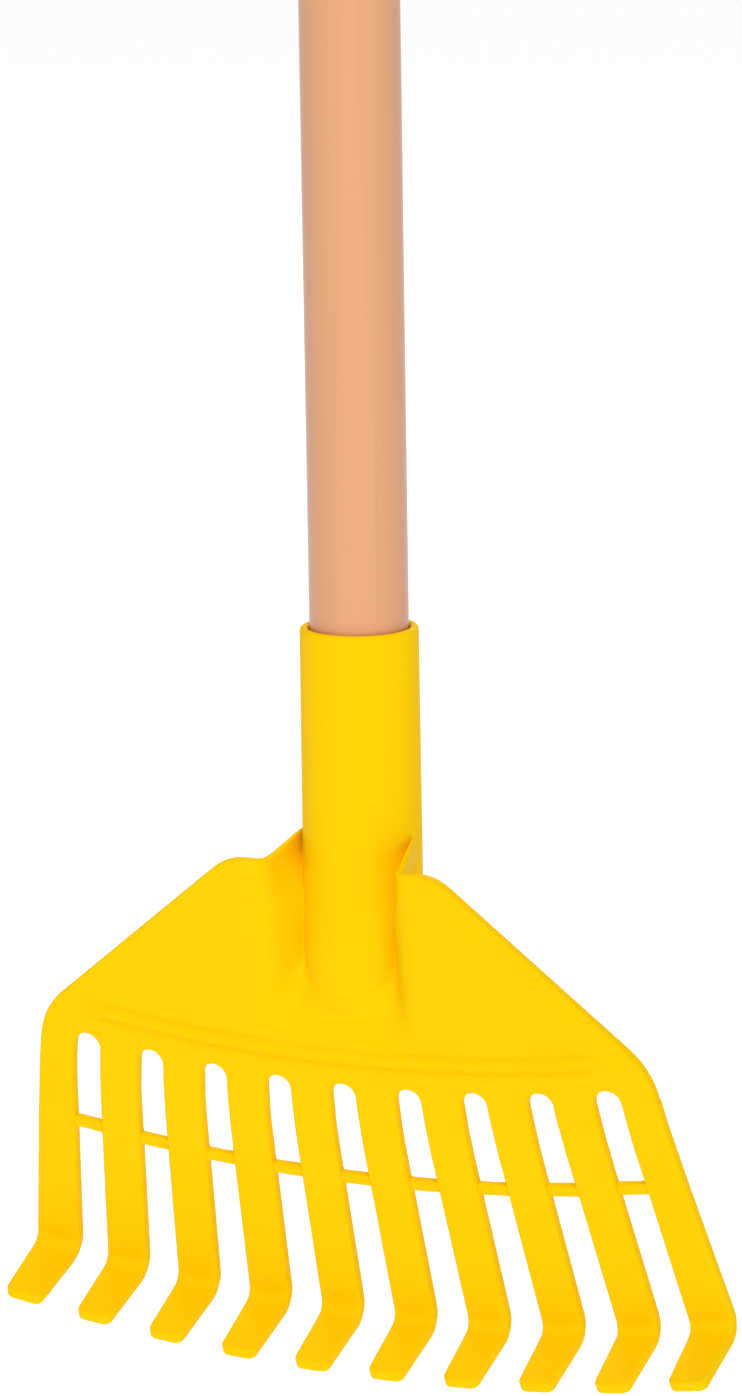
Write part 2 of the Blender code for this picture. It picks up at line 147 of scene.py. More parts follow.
class Finish:
    def __init__(self, name):
        self.material = bpy.data.materials.new(name)
        self.material.use_nodes = True
        self.tree = self.material.node_tree
        self.shader = self.tree.nodes["Principled BSDF"]

    def add(self, kind, settings=None, inputs=None, output=0):
        node = self.tree.nodes.new(kind)
        for name, value in (settings or {}).items():
            if name == "stops":  # pairs of place and shade
                while len(node.color_ramp.elements) < len(value):
                    node.color_ramp.elements.new(0.5)
                for element, (place, shade) in zip(node.color_ramp.elements, value):
                    element.position = place
                    element.color = (shade, shade, shade, 1.0)
            else:
                setattr(node, name, value)
        for name, value in (inputs or {}).items():
            self.feed(node.inputs[name], value)
        return Wire(self, node.outputs[output])

    def feed(self, socket, value):
        if isinstance(value, Wire):
            self.tree.links.new(value.socket, socket)
        else:
            socket.default_value = value

    def set(self, **values):  # coatWeight=0.5 sets the shader's Coat Weight
        for name, value in values.items():
            spaced = "".join(" " + c if c.isupper() else c for c in name)
            socketName = spaced[0].upper() + spaced[1:]
            self.feed(self.shader.inputs[socketName.replace("Ior", "IOR")], value)

    def place(self, stretch):
        coordinates = self.add("ShaderNodeTexCoord", output=3)
        return self.add("ShaderNodeMapping", {}, {"Vector": coordinates, "Scale": stretch})

    def noise(self, stretch, scale, detail):
        inputs = {"Vector": self.place(stretch), "Scale": scale, "Detail": detail}
        return self.add("ShaderNodeTexNoise", {}, inputs)

    def blend(self, share, first, second):
        ends = [(*end, 1.0) if isinstance(end, tuple) else end for end in (first, second)]
        inputs = {0: share, 6: ends[0], 7: ends[1]}
        return self.add("ShaderNodeMix", {"data_type": "RGBA"}, inputs, output=2)

    def ramp(self, value, stops):
        return self.add("ShaderNodeValToRGB", {"stops": stops}, {0: value})

    def vector(self, operation, first, second=(0, 0, 0), output=0):
        inputs = {0: first, 1: second}
        return self.add("ShaderNodeVectorMath", {"operation": operation}, inputs, output)

    def bump(self, height, strength, distance):
        inputs = {"Height": height, "Strength": strength, "Distance": distance}
        return self.add("ShaderNodeBump", {}, inputs)


# yellow moulded plastic
plasticSet = {
    "colour": (1.0, 0.60, 0.0),
    "paler": (1.0, 0.64, 0.002),
    "cloudPerMetre": 26.0,
    "flowPerMetre": 90.0,
    "flowStretch": (1, 1, 0.35),
    "flowShare": 0.3,
    "roughness": 0.50,
    "roughnessSpread": 0.10,
    "grainPerMetre": 1600.0,
    "grainDepth": 0.00004,
    "grainStrength": 0.12,
    "specular": 0.015,
}


def makePlastic():
    finish = Finish("yellow_plastic")
    cloud = finish.noise((1, 1, 1), plasticSet["cloudPerMetre"], detail=4.0)
    flow = finish.noise(plasticSet["flowStretch"], plasticSet["flowPerMetre"], detail=3.0)
    share = cloud * (1 - plasticSet["flowShare"]) + flow * plasticSet["flowShare"]
    finish.set(baseColor=finish.blend(share, plasticSet["colour"], plasticSet["paler"]))
    finish.set(roughness=plasticSet["roughness"] + (flow - 0.5) * plasticSet["roughnessSpread"])
    grain = finish.noise((1, 1, 1), plasticSet["grainPerMetre"], detail=2.0)
    finish.set(normal=finish.bump(grain, plasticSet["grainStrength"], plasticSet["grainDepth"]))
    finish.set(specularIorLevel=plasticSet["specular"])
    return finish.material


# pale varnished wood: fine rings and streaks, and painted shade: darker wood down two opposite
# sides, the dowel's left and right edges as the camera sees it
woodSet = {
    "colour": (0.765, 0.357, 0.158),
    "paler": (0.815, 0.396, 0.185),
    "darker": (0.64, 0.266, 0.110),
    # colour of the painted shade down the dowel's two sides
    "heart": (0.635, 0.294, 0.152),
    "ringAndShadeCentre": (-0.0233, 0.05, 0),  # the rings' middle, beside the dowel; the painted side shade is measured from it too
    "sideShadeReach": (0.0430, 0.0675),
    "sideShadeStops": ((0.05, 0), (0.36, 1), (0.72, 1), (1.0, 0)),
    "sideShadeWaver": 0.001,
    "waverPerMetre": 60.0,
    "waverStretch": (1, 1, 0.05),
    "ringsPerMetre": 420.0,
    "ringStretch": (1, 1, 0.004),
    "ringStops": ((0.0, 0), (0.75, 0.35), (0.93, 1), (1.0, 0)),
    "ringWaver": 2.2,
    "ringShare": 0.10,
    "ringDepth": 0.3,
    "streaksPerMetre": 900.0,
    "streakStretch": (1, 1, 0.012),
    "streakShare": 0.22,
    "broadPerMetre": 40.0,
    "roughness": 0.46,
    "roughnessSpread": 0.18,
    "grainDepth": 0.00006,
    "grainStrength": 0.10,
    "coat": 0.5,
    "coatRoughness": 0.3,
    "specular": 0.3,
}


def makeWood():
    finish = Finish("varnished_wood")
    spot = finish.add("ShaderNodeTexCoord", output=3)
    waver = finish.noise(woodSet["waverStretch"], woodSet["waverPerMetre"], detail=2.0)
    fromRingCentre = finish.vector("SUBTRACT", spot, woodSet["ringAndShadeCentre"])
    flat = finish.vector("MULTIPLY", fromRingCentre, woodSet["ringStretch"])
    reach = finish.vector("LENGTH", flat, output=1)
    turns = reach * woodSet["ringsPerMetre"] + waver * woodSet["ringWaver"]
    ring = finish.add("ShaderNodeMath", {"operation": "FRACT"}, {0: turns})
    lateWood = finish.ramp(ring, woodSet["ringStops"])
    streak = finish.noise(woodSet["streakStretch"], woodSet["streaksPerMetre"], detail=3.0)
    broad = finish.noise(woodSet["waverStretch"], woodSet["broadPerMetre"], detail=2.0)
    base = finish.blend(broad, woodSet["colour"], woodSet["paler"])
    lines = lateWood * woodSet["ringShare"] + (streak - 0.5) * woodSet["streakShare"]
    ringed = finish.blend(lines, base, woodSet["darker"])
    # painted shade: a darker band down each side of the dowel, where it turns away from the camera
    inner, outer = woodSet["sideShadeReach"]
    wavered = reach + waver * woodSet["sideShadeWaver"]
    depth = finish.add("ShaderNodeMapRange", {}, {0: wavered, 1: inner, 2: outer})
    paintedSideShade = finish.ramp(depth, woodSet["sideShadeStops"])
    finish.set(baseColor=finish.blend(paintedSideShade, ringed, woodSet["heart"]))
    finish.set(roughness=woodSet["roughness"] + (streak - 0.5) * woodSet["roughnessSpread"])
    relief = streak + lateWood * woodSet["ringDepth"]
    finish.set(normal=finish.bump(relief, woodSet["grainStrength"], woodSet["grainDepth"]))
    finish.set(coatWeight=woodSet["coat"], coatRoughness=woodSet["coatRoughness"])
    finish.set(specularIorLevel=woodSet["specular"])
    return finish.material


# bright zinc plate on the screw
zincSet = {
    "colour": (0.60, 0.60, 0.62),
    "paler": (0.74, 0.74, 0.75),
    "patchesPerMetre": 900.0,
    "scratchesPerMetre": 700.0,
    "scratchStretch": (1, 14, 14),
    "scratchDepth": 0.00004,
    "scratchStrength": 0.08,
    "roughness": 0.28,
    "roughnessSpread": 0.15,
}


def makeZinc():
    finish = Finish("zinc_steel")
    patch = finish.noise((1, 1, 1), zincSet["patchesPerMetre"], detail=4.0)
    scratch = finish.noise(zincSet["scratchStretch"], zincSet["scratchesPerMetre"], detail=2.0)
    finish.set(baseColor=finish.blend(patch, zincSet["colour"], zincSet["paler"]), metallic=1.0)
    finish.set(roughness=zincSet["roughness"] + scratch * zincSet["roughnessSpread"])
    finish.set(normal=finish.bump(scratch, zincSet["scratchStrength"], zincSet["scratchDepth"]))
    return finish.material


plastic, wood, zinc = makePlastic(), makeWood(), makeZinc()
print("finishes made")


# rake head: one moulding, worked out as a distance field in mm and turned into a skin
headSet = {
    "voxel": 0.5,
    "margin": 2.0,
    "far": 9.0,  # the field's value away from the head
    "adaptivity": 0.006,
    "settleTurns": 3,
    "settleReach": 0.25,
    "slopeStep": 0.02,
    "slopeLeast": 0.2,
    "sheet": 3.0,
    "rimRound": 0.6,
    "bendRound": 2.5,
    # socket
    "socketBox": ((-22, -25, -100), (22, 20, 2)),
    "socketRadius": 14.38,
    "socketDraft": 0.0034,
    "socketLength": 92.0,
    "socketEndRound": 7.0,
    "frontEndLess": 5.0,  # how much less round its foot is in front
    "frontEndReach": (2.0, 10.0),
    "footMeld": 3.7,  # its foot flows into the plate
    "footMeldReach": (-92.0, -80.0),
    "creaseRound": 0.5,
    "boreRadius": 12.3,
    "boreDepth": 86.0,
    "lipRound": 0.9,
    "screwDrop": 26.0,
    "screwHole": 2.3,
    "screwHoleRound": 0.4,
    "bossRadius": 5.5,
    "bossFace": 16.2,
    "bossRoot": 10.0,
    "bossRound": 0.5,
    "bossMeld": 1.5,
    # plate
    "plateBox": ((-97, -25, -132), (97, 4, -46)),
    "plateTopZ": -55.4,
    "plateFrontY": -20.6,
    "plateLean": math.radians(4.8),
    "plateDip": math.radians(1.3),
    "plateHeight": 56.4,
    "plateTopWidth": 55.0,
    "plateSideAngle": math.radians(50.6),
    "plateCornerRound": 13.0,
    "shoulderRound": 20.0,
    "arcSteps": 12,
    "plateReach": 9.0,  # it ends this far below the bend, inside the tines
    "skirt": 14.0,
    "skirtSteps": 25,
    "beadAbove": 7.7,
    "beadHalf": 1.6,
    "beadHeight": 0.75,
    "beadGroove": 0.32,
    "beadGrooveGap": 0.2,
    "beadGrooveWidth": 0.65,
    "beadReach": (62.0, 72.0),
    # channel in the plate around the socket, with its folded walls
    "channelHalf": 17.9,
    "channelTopHalf": 16.9,
    "channelNarrows": 26.0,  # below the plate's top edge
    "channelTaper": 0.56,
    "channelTopTaper": 0.13,
    "channelSteepens": (16.0, 1.0),
    "channelFoot": 13.5,
    "channelOpening": 14.0,
    "channelRamp": 0.75,
    "channelRound": 4.0,
    "footRound": 3.0,
    "foldRound": 4.5,
    "wall": 2.6,
    "wallThinning": 0.11,
    "wallDepth": 21.0,
    "wallRound": 1.5,
    "wallEndY": 1.0,
    "wallRise": 0.28,
    "wallRiseStart": 5.2,
    "wallRiseEnd": 20.0,
    "wallRiseRound": 3.0,
    # tines, and the slots between them
    "tines": 10,
    "tineBox": ((-3, 73), (-6, 6), (-5, 24)),  # along, across and ahead
    "tineBoxRoom": 1.0,
    "tineStart": 4.0,
    "tineStraight": (12.0, 30.0),  # from the bend's form to a straight tine
    "tineWidth": 10.45,
    "tineSpread": 0.0082,
    "outerWidth": 9.15,
    "outerSpread": 0.042,
    "outerShift": 0.275,
    "tineLength": 67.0,
    "tineLean": math.radians(18.1),
    "fanRadius": 418.0,
    "fanStep": math.radians(2.37),
    "fanLean": 0.965,
    "fanPivot": 30.0,
    "slotRise": 0.65,
    "slotReach": 20.0,
    "slotSquare": (2.0, 9.0),  # from square to the plate to square to the tines
    "kneeRound": 3.0,
    "kneeWrap": -math.pi / 2 - 0.3,  # the turn around the knee starts again behind the tine
    "tipBend": math.radians(86.8),
    "tipLength": 20.8,
    "tipTaper": 0.82,
    "tipCorner": 2.0,
    # cross bar
    "barBelow": 27.2,
    "barHeight": 3.2,
    "barThickness": 2.0,
    "barSetback": 0.8,
    "barRound": 0.5,
    "barMeld": 0.3,
}


def softMin(first, second, reach):
    overlap = np.maximum(reach - np.abs(first - second), 0) / reach
    return np.minimum(first, second) - overlap * overlap * reach * 0.25


def softMax(first, second, reach):
    return -softMin(-first, -second, reach)


def roundedRim(across, through, radius):  # where two faces meet in a rounded edge
    a, b = across + radius, through + radius
    corner = np.hypot(np.maximum(a, 0), np.maximum(b, 0))
    return np.minimum(np.maximum(a, b), 0) + corner - radius


def easeStep(value, start, end):
    share = np.clip((value - start) / (end - start), 0, 1)
    return share * share * (3 - 2 * share)


def alongAxis(offset, axis):
    return offset[0] * axis[0] + offset[1] * axis[1] + offset[2] * axis[2]


class Lattice:  # the grid of points around the head on which the field is kept
    def __init__(self, low, high, step):
        self.low, self.step = np.array(low), step
        self.count = np.ceil((np.array(high) - self.low) / step).astype(int) + 1
        self.field = np.full(self.count, headSet["far"], np.float32)

    def part(self, low, high):
        first = np.floor((np.array(low) - self.low) / self.step).astype(int)
        last = np.ceil((np.array(high) - self.low) / self.step).astype(int) + 1
        first, last = np.clip(first, 0, self.count - 1), np.clip(last, 1, self.count)
        window = tuple(slice(a, b) for a, b in zip(first, last))
        x, y, z = (
            start + self.step * np.arange(a, b, dtype=np.float32)
            for start, a, b in zip(self.low, first, last)
        )
        return window, x[:, None, None], y[None, :, None], z[None, None, :]


class Cloud:  # the same field, asked for at free points
    def __init__(self, points):
        self.points = points
        self.field = np.full(len(points), headSet["far"])

    def part(self, low, high):
        inside = np.where(np.all((self.points >= low) & (self.points <= high), axis=1))[0]
        x, y, z = self.points[inside].T
        return inside, x, y, z


plateLean, tineLean = headSet["plateLean"], headSet["tineLean"]
tineBend = tineLean - plateLean
faceLean = plateLean + headSet["plateDip"]  # the plate's face meets the tines below the slots' tops
plateUp = np.array((0, -math.sin(plateLean), math.cos(plateLean)))
plateFront = np.array((0, -math.cos(plateLean), -math.sin(plateLean)))
tineFront = np.array((0, -math.cos(tineLean), -math.sin(tineLean)))
bendSpot = np.array((
    0,
    headSet["plateFrontY"] + headSet["plateHeight"] * math.sin(plateLean),
    headSet["plateTopZ"] - headSet["plateHeight"] * math.cos(plateLean),
))
outerAngle = (headSet["tines"] - 1) / 2 * headSet["fanStep"]
outerSlack = (headSet["tineWidth"] - headSet["outerWidth"]) / 2 - headSet["outerShift"]
slotRadius = headSet["fanRadius"] * math.sin(headSet["fanStep"] / 2) - headSet["tineWidth"] / 2
slotStart = slotRadius - headSet["slotRise"]


def fanPlan(angle, offset, drop):
    reach = headSet["fanRadius"] + drop
    across = reach * math.sin(angle) + offset * math.cos(angle)
    up = headSet["fanRadius"] - reach * math.cos(angle) + offset * math.sin(angle)
    return np.array((across, up))


def leanAt(angle):  # a tine leans out a little less than the fan's line and crosses it at the pivot
    lean = angle * headSet["fanLean"]
    return lean, headSet["fanPivot"] * (math.sin(angle) - math.sin(lean))


def tineAxes(angle):
    lean, shift = leanAt(angle)
    cosLean, sinLean = math.cos(lean), math.sin(lean)
    along = np.array((sinLean, cosLean * math.sin(tineLean), -cosLean * math.cos(tineLean)))
    side = np.array((cosLean, -sinLean * math.sin(tineLean), sinLean * math.cos(tineLean)))
    across, up = fanPlan(angle, shift, 0)
    return bendSpot + np.array((across, 0, 0)) + up * plateUp, along, side


def cornerArc(before, corner, after, radius):
    back = (before - corner) / np.linalg.norm(before - corner)
    ahead = (after - corner) / np.linalg.norm(after - corner)
    half = math.acos(float(back @ ahead)) / 2
    middle = (back + ahead) / np.linalg.norm(back + ahead)
    centre = corner + middle * radius / math.sin(half)
    start = corner + back * radius / math.tan(half) - centre
    end = corner + ahead * radius / math.tan(half) - centre
    first, last = math.atan2(start[1], start[0]), math.atan2(end[1], end[0])
    turns = np.linspace(first, last, headSet["arcSteps"] + 1)
    return [centre + radius * np.array((math.cos(t), math.sin(t))) for t in turns]


def plateOutline():
    top = np.array((headSet["plateTopWidth"] / 2, headSet["plateHeight"]))
    slope = np.array((math.sin(headSet["plateSideAngle"]), -math.cos(headSet["plateSideAngle"])))
    lean, shift = leanAt(outerAngle)
    edge = fanPlan(outerAngle, headSet["outerWidth"] / 2 - headSet["outerShift"] + shift, 0)
    edgeTurn = lean + headSet["outerSpread"] / 2
    way = np.array((math.sin(edgeTurn), -math.cos(edgeTurn)))
    gap = edge - top
    reach = (gap[0] * way[1] - gap[1] * way[0]) / (slope[0] * way[1] - slope[1] * way[0])
    shoulder = top + slope * reach
    lower = edge + way * headSet["skirt"]
    half = cornerArc(np.array((0, top[1])), top, shoulder, headSet["plateCornerRound"])
    half += cornerArc(top, shoulder, lower, headSet["shoulderRound"])
    half += [lower]
    shares = np.linspace(0.98, 0.02, headSet["skirtSteps"])  # back to the middle
    half += [fanPlan(outerAngle * share, 0, headSet["skirt"]) for share in shares]
    return half + [p * np.array((-1, 1)) for p in reversed(half)]


def outlineDistance(across, up, points):  # signed distance to a closed outline in the plate's plane
    best = np.full(np.broadcast(across, up).shape, 1e9, np.float32)
    inside = np.zeros(best.shape, bool)
    for a, b in zip(points, points[1:] + points[:1]):
        edge = b - a
        px, py = across - a[0], up - a[1]
        share = np.clip((px * edge[0] + py * edge[1]) / float(edge @ edge), 0, 1)
        best = np.minimum(best, (px - share * edge[0]) ** 2 + (py - share * edge[1]) ** 2)
        if a[1] != b[1]:
            crosses = (a[1] > up) != (b[1] > up)
            inside ^= crosses & (px < py * edge[0] / edge[1])
    return np.where(inside, -np.sqrt(best), np.sqrt(best)).astype(np.float32)


def slotDistance(index, across, up):  # a slot has a round top and widens downwards
    angle = (index + 0.5) * headSet["fanStep"] - outerAngle
    outer = (index == headSet["tines"] - 2) - (index == 0)  # beside the narrower outer tines
    extra = abs(outer) * outerSlack / 2
    lean, shift = leanAt(angle)
    centre = fanPlan(angle, shift + outer * outerSlack / 2, slotStart + extra)
    px, py = across - centre[0], up - centre[1]
    run = np.clip(px * math.sin(lean) - py * math.cos(lean), 0, headSet["slotReach"])
    widening = math.sin(headSet["fanStep"] / 2) - headSet["tineSpread"] / 2
    half = slotRadius + extra + run * widening
    return np.hypot(px - run * math.sin(lean), py + run * math.cos(lean)) - half


def channelGap(across, up, depth):  # distance to the channel around the socket, negative inside it
    top, ramp = headSet["plateHeight"], headSet["channelRamp"]
    high = easeStep(up, *(top - below for below in headSet["channelSteepens"]))
    taper = headSet["channelTaper"] + (headSet["channelTopTaper"] - headSet["channelTaper"]) * high
    narrowed = easeStep(up, top - headSet["channelNarrows"], top)
    half = headSet["channelHalf"] + (headSet["channelTopHalf"] - headSet["channelHalf"]) * narrowed
    side = (np.abs(across) - half + taper * depth) / np.hypot(1, taper)
    end = (depth - ramp * (up - headSet["channelFoot"])) / math.hypot(1, ramp)
    return softMax(side, end, headSet["channelRound"])


def bentSheet(x, y, z):  # front and back of the sheet where the plate bends into the tines
    up = (y - bendSpot[1]) * plateUp[1] + (z - bendSpot[2]) * plateUp[2]
    ahead = (y - bendSpot[1]) * plateFront[1] + (z - bendSpot[2]) * plateFront[2]
    level = np.hypot(x, headSet["fanRadius"] - up) - headSet["fanRadius"]  # how far below the bend
    fromBead = np.abs(level + headSet["beadAbove"])
    bead = headSet["beadHeight"] * np.maximum(1 - (fromBead / headSet["beadHalf"]) ** 2, 0)
    beside = fromBead - headSet["beadHalf"] - headSet["beadGrooveGap"]
    groove = beside / headSet["beadGrooveWidth"]
    bead = bead - headSet["beadGroove"] * np.exp(-groove * groove)
    bent = ahead * math.cos(tineBend) + level * math.sin(tineBend)
    behind, above = y - headSet["plateFrontY"], z - headSet["plateTopZ"]
    depth = behind * math.cos(faceLean) + above * math.sin(faceLean)
    face = -depth - bead * (1 - easeStep(np.abs(x), *headSet["beadReach"]))
    front = softMax(face, bent, headSet["bendRound"])
    back = softMin(-face, -bent, headSet["bendRound"]) - headSet["sheet"]
    return up, depth, level, front, back


def addPlate(target):
    window, x, y, z = target.part(*headSet["plateBox"])
    up, depth, level, sheetFront, sheetBack = bentSheet(x, y, z)
    gap = channelGap(x, up, depth)
    foot = headSet["channelFoot"]
    opened = easeStep(up, foot, foot + headSet["channelOpening"])
    fold = headSet["footRound"] + (headSet["foldRound"] - headSet["footRound"]) * opened
    front = softMax(sheetFront, -gap, fold)
    wall = headSet["wall"] - headSet["wallThinning"] * np.clip(depth, 0, headSet["wallDepth"])
    back = softMin(sheetBack, gap - wall, headSet["wallRound"])
    shell = np.maximum(np.maximum(front, back), y - headSet["wallEndY"])
    deep = np.minimum(depth, headSet["wallRiseEnd"]) - headSet["wallRiseStart"]
    rise = headSet["wallRise"] * softMax(deep, 0.0, headSet["wallRiseRound"])
    plan = outlineDistance(x, up - rise, plateOutline())
    plan = np.maximum(plan, level - headSet["plateReach"])
    turned = math.sin(tineBend) * easeStep(level, *headSet["slotSquare"])
    slotUp = up + turned * np.clip(sheetFront, -headSet["sheet"], 0)
    for index in range(headSet["tines"] - 1):
        plan = np.maximum(plan, -slotDistance(index, x, slotUp))
    sheet = roundedRim(plan, shell, headSet["rimRound"])
    target.field[window] = np.minimum(target.field[window], sheet)


def addTine(target, angle):
    base, along, side = tineAxes(angle)
    bend, knee = headSet["tipBend"], headSet["kneeRound"]
    halfSheet = headSet["sheet"] / 2
    kneeStart = headSet["tineLength"] - knee * math.tan(bend / 2)
    tipRun = headSet["tipLength"] - knee * math.tan(bend / 2)
    bow = knee + halfSheet  # radius of the knee at the middle of the sheet
    kneeEnd = kneeStart + bow * bend
    pathLength = kneeEnd + tipRun

    runs, sides, heights = headSet["tineBox"]
    corners = [
        base + v * along + s * side + n * tineFront for v in runs for s in sides for n in heights
    ]
    room = headSet["tineBoxRoom"]
    window, x, y, z = target.part(np.min(corners, 0) - room, np.max(corners, 0) + room)
    offset = (x - base[0], y - base[1], z - base[2])
    across, down = alongAxis(offset, side), alongAxis(offset, along)
    ahead = alongAxis(offset, tineFront)

    # way along the bent tine and through its thickness: shank, knee and tip
    turn = np.arctan2(down - kneeStart, knee - ahead)
    turn = np.where(turn < headSet["kneeWrap"], turn + 2 * math.pi, turn)
    reach = np.hypot(down - kneeStart, knee - ahead)
    tipDown, tipAhead = kneeStart + bow * math.sin(bend), knee - bow * math.cos(bend)
    tipAlong = (down - tipDown) * math.cos(bend) + (ahead - tipAhead) * math.sin(bend)
    tipAcross = (ahead - tipAhead) * math.cos(bend) - (down - tipDown) * math.sin(bend)
    onShank, onTip = turn < 0, turn > bend
    kneeRun = kneeStart + bow * turn
    run = np.where(onShank, down, np.where(onTip, kneeEnd + tipAlong, kneeRun))
    thick = np.where(onShank, ahead + halfSheet, np.where(onTip, tipAcross, bow - reach))

    outer = abs(angle) > outerAngle - headSet["fanStep"] / 2
    kind = "outer" if outer else "tine"
    across = across + math.copysign(headSet["outerShift"], angle) * outer
    width = headSet[kind + "Width"] + headSet[kind + "Spread"] * np.clip(run, 0, kneeStart)
    taper = np.clip((run - kneeStart) / (pathLength - kneeStart), 0, 1)
    half = width / 2 * (1 - (1 - headSet["tipTaper"]) * taper)
    plan = roundedRim(np.abs(across) - half, run - pathLength, headSet["tipCorner"])
    plan = np.maximum(plan, headSet["tineStart"] - run)
    *_, front, back = bentSheet(x, y, z)
    straight = np.abs(thick) - halfSheet
    nearBend = 1 - easeStep(down, *headSet["tineStraight"])
    through = straight + (np.maximum(front, back) - straight) * nearBend
    tine = roundedRim(plan, through, headSet["rimRound"])
    target.field[window] = np.minimum(target.field[window], tine)


def addBar(target, angle):
    ends = []
    for tineAngle in (angle, angle + headSet["fanStep"]):
        base, along, _ = tineAxes(tineAngle)
        ends.append(base + headSet["barBelow"] * along)
    inset = headSet["barSetback"] + headSet["barThickness"] / 2
    middle = (ends[0] + ends[1]) / 2 - inset * tineFront
    way = ends[1] - ends[0]
    halfLength = np.linalg.norm(way) / 2
    way = way / (2 * halfLength)
    room = halfLength + headSet["margin"]
    window, x, y, z = target.part(middle - room, middle + room)
    offset = (x - middle[0], y - middle[1], z - middle[2])
    high = np.abs(alongAxis(offset, np.cross(tineFront, way))) - headSet["barHeight"] / 2
    thick = np.abs(alongAxis(offset, tineFront)) - headSet["barThickness"] / 2
    bar = roundedRim(high, thick, headSet["barRound"])
    bar = np.maximum(bar, np.abs(alongAxis(offset, way)) - halfLength)
    target.field[window] = softMin(target.field[window], bar, headSet["barMeld"])


def addSocket(target):
    window, x, y, z = target.part(*headSet["socketBox"])
    reach = np.hypot(x, y)
    outside = reach - headSet["socketRadius"] + headSet["socketDraft"] * z
    frontLess = headSet["frontEndLess"] * easeStep(-y, *headSet["frontEndReach"])
    endRound = headSet["socketEndRound"] - frontLess
    tube = roundedRim(outside, -headSet["socketLength"] - z, endRound)
    tube = roundedRim(tube, z, headSet["lipRound"])
    atFoot = 1 - easeStep(z, *headSet["footMeldReach"])
    meld = headSet["creaseRound"] + headSet["footMeld"] * atFoot
    joined = softMin(target.field[window], tube, meld)
    fromScrew = np.hypot(x, z + headSet["screwDrop"])
    bossEnds = np.maximum(y - headSet["bossFace"], headSet["bossRoot"] - y)
    boss = roundedRim(fromScrew - headSet["bossRadius"], bossEnds, headSet["bossRound"])
    joined = softMin(joined, boss, headSet["bossMeld"])
    bore = np.maximum(reach - headSet["boreRadius"], -headSet["boreDepth"] - z)
    joined = softMax(joined, -bore, headSet["lipRound"])
    hole = np.maximum(fromScrew - headSet["screwHole"], -y)
    target.field[window] = softMax(joined, -hole, headSet["screwHoleRound"])


def addHeadForms(target):  # fills a Lattice or a Cloud
    addPlate(target)
    for index in range(headSet["tines"]):
        addTine(target, index * headSet["fanStep"] - outerAngle)
    for index in range(headSet["tines"] - 1):
        addBar(target, index * headSet["fanStep"] - outerAngle)
    addSocket(target)
    return target.field


def facingAt(points, value):
    step = headSet["slopeStep"]
    beside = [addHeadForms(Cloud(points + step * axis)) for axis in np.eye(3)]
    slope = np.stack([(near - value) / step for near in beside], axis=1)
    return slope / np.maximum(np.linalg.norm(slope, axis=1), headSet["slopeLeast"])[:, None]


def settle(points):  # moves the skin's points onto the true surface, and finds how it faces there
    reach = headSet["settleReach"]
    for _ in range(headSet["settleTurns"]):
        value = addHeadForms(Cloud(points))
        points = points - np.clip(value, -reach, reach)[:, None] * facingAt(points, value)
    facing = facingAt(points, addHeadForms(Cloud(points)))
    return points, facing / np.maximum(np.linalg.norm(facing, axis=1), 1e-6)[:, None]


def addPiece(name, mesh, material, node):
    piece = addObject(name, mesh)
    mesh.materials.append(material)
    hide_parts(node)
    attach(piece, "root")
    return piece


def makeHead():
    mouth = np.array((0, 0, mouthZ / mm))
    low, high = (np.array(corner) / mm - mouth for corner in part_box("rake_head"))
    lattice = Lattice(low - headSet["margin"], high + headSet["margin"], headSet["voxel"])
    addHeadForms(lattice)
    grid = openvdb.FloatGrid(headSet["far"])
    grid.copyFromArray(lattice.field)
    points, triangles, quads = grid.convertToPolygons(0.0, headSet["adaptivity"])
    points, facing = settle(points.astype(float) * lattice.step + lattice.low)
    mesh = bpy.data.meshes.new("rakeHead")
    faces = [tuple(map(int, face)) for kind in (quads, triangles) for face in kind]
    mesh.from_pydata((points * mm + np.array((0, 0, mouthZ))).tolist(), [], faces)
    mesh.update()
    firstFace = mesh.polygons[0]
    if np.array(firstFace.normal) @ facing[firstFace.vertices[0]] < 0:
        mesh.flip_normals()
    mesh.shade_smooth()
    mesh.normals_split_custom_set_from_vertices(facing.tolist())
    addPiece("rakeHead", mesh, plastic, "rake_head")
    print("rake head made,", len(mesh.vertices), "points,", len(mesh.polygons), "faces")


makeHead()


# handle: a turned dowel with a softened top end
handleSet = {
    "radius": 12.0,
    "length": 600.0,
    "topRound": 3.0,
    "topSteps": 8,
    "topRing": 0.35,  # share of the radius
    "topEdge": 1.05,  # share of the rounding, keeps the flat end flat in its shading
    "footChamfer": 1.5,
    "around": 96,
    "rows": 60,
    "sharpAngle": math.radians(40),
}


def turnedMesh(name, profile, around):  # pairs of radius and height, turned about Z
    points, rows, faces = [], [], []
    for radius, height in profile:
        count = around if radius > 0 else 1  # a row on the axis is a single point
        rows.append([len(points) + step % count for step in range(around + 1)])
        for step in range(count):
            turn = 2 * math.pi * step / around
            points.append((radius * math.cos(turn), radius * math.sin(turn), height))
    for upper, lower in zip(rows, rows[1:]):
        for step in range(around):
            corners = (upper[step], lower[step], lower[step + 1], upper[step + 1])
            faces.append(tuple(dict.fromkeys(corners)))
    mesh = bpy.data.meshes.new(name)
    mesh.from_pydata(points, [], faces)
    mesh.update()
    mesh.shade_smooth()
    return mesh


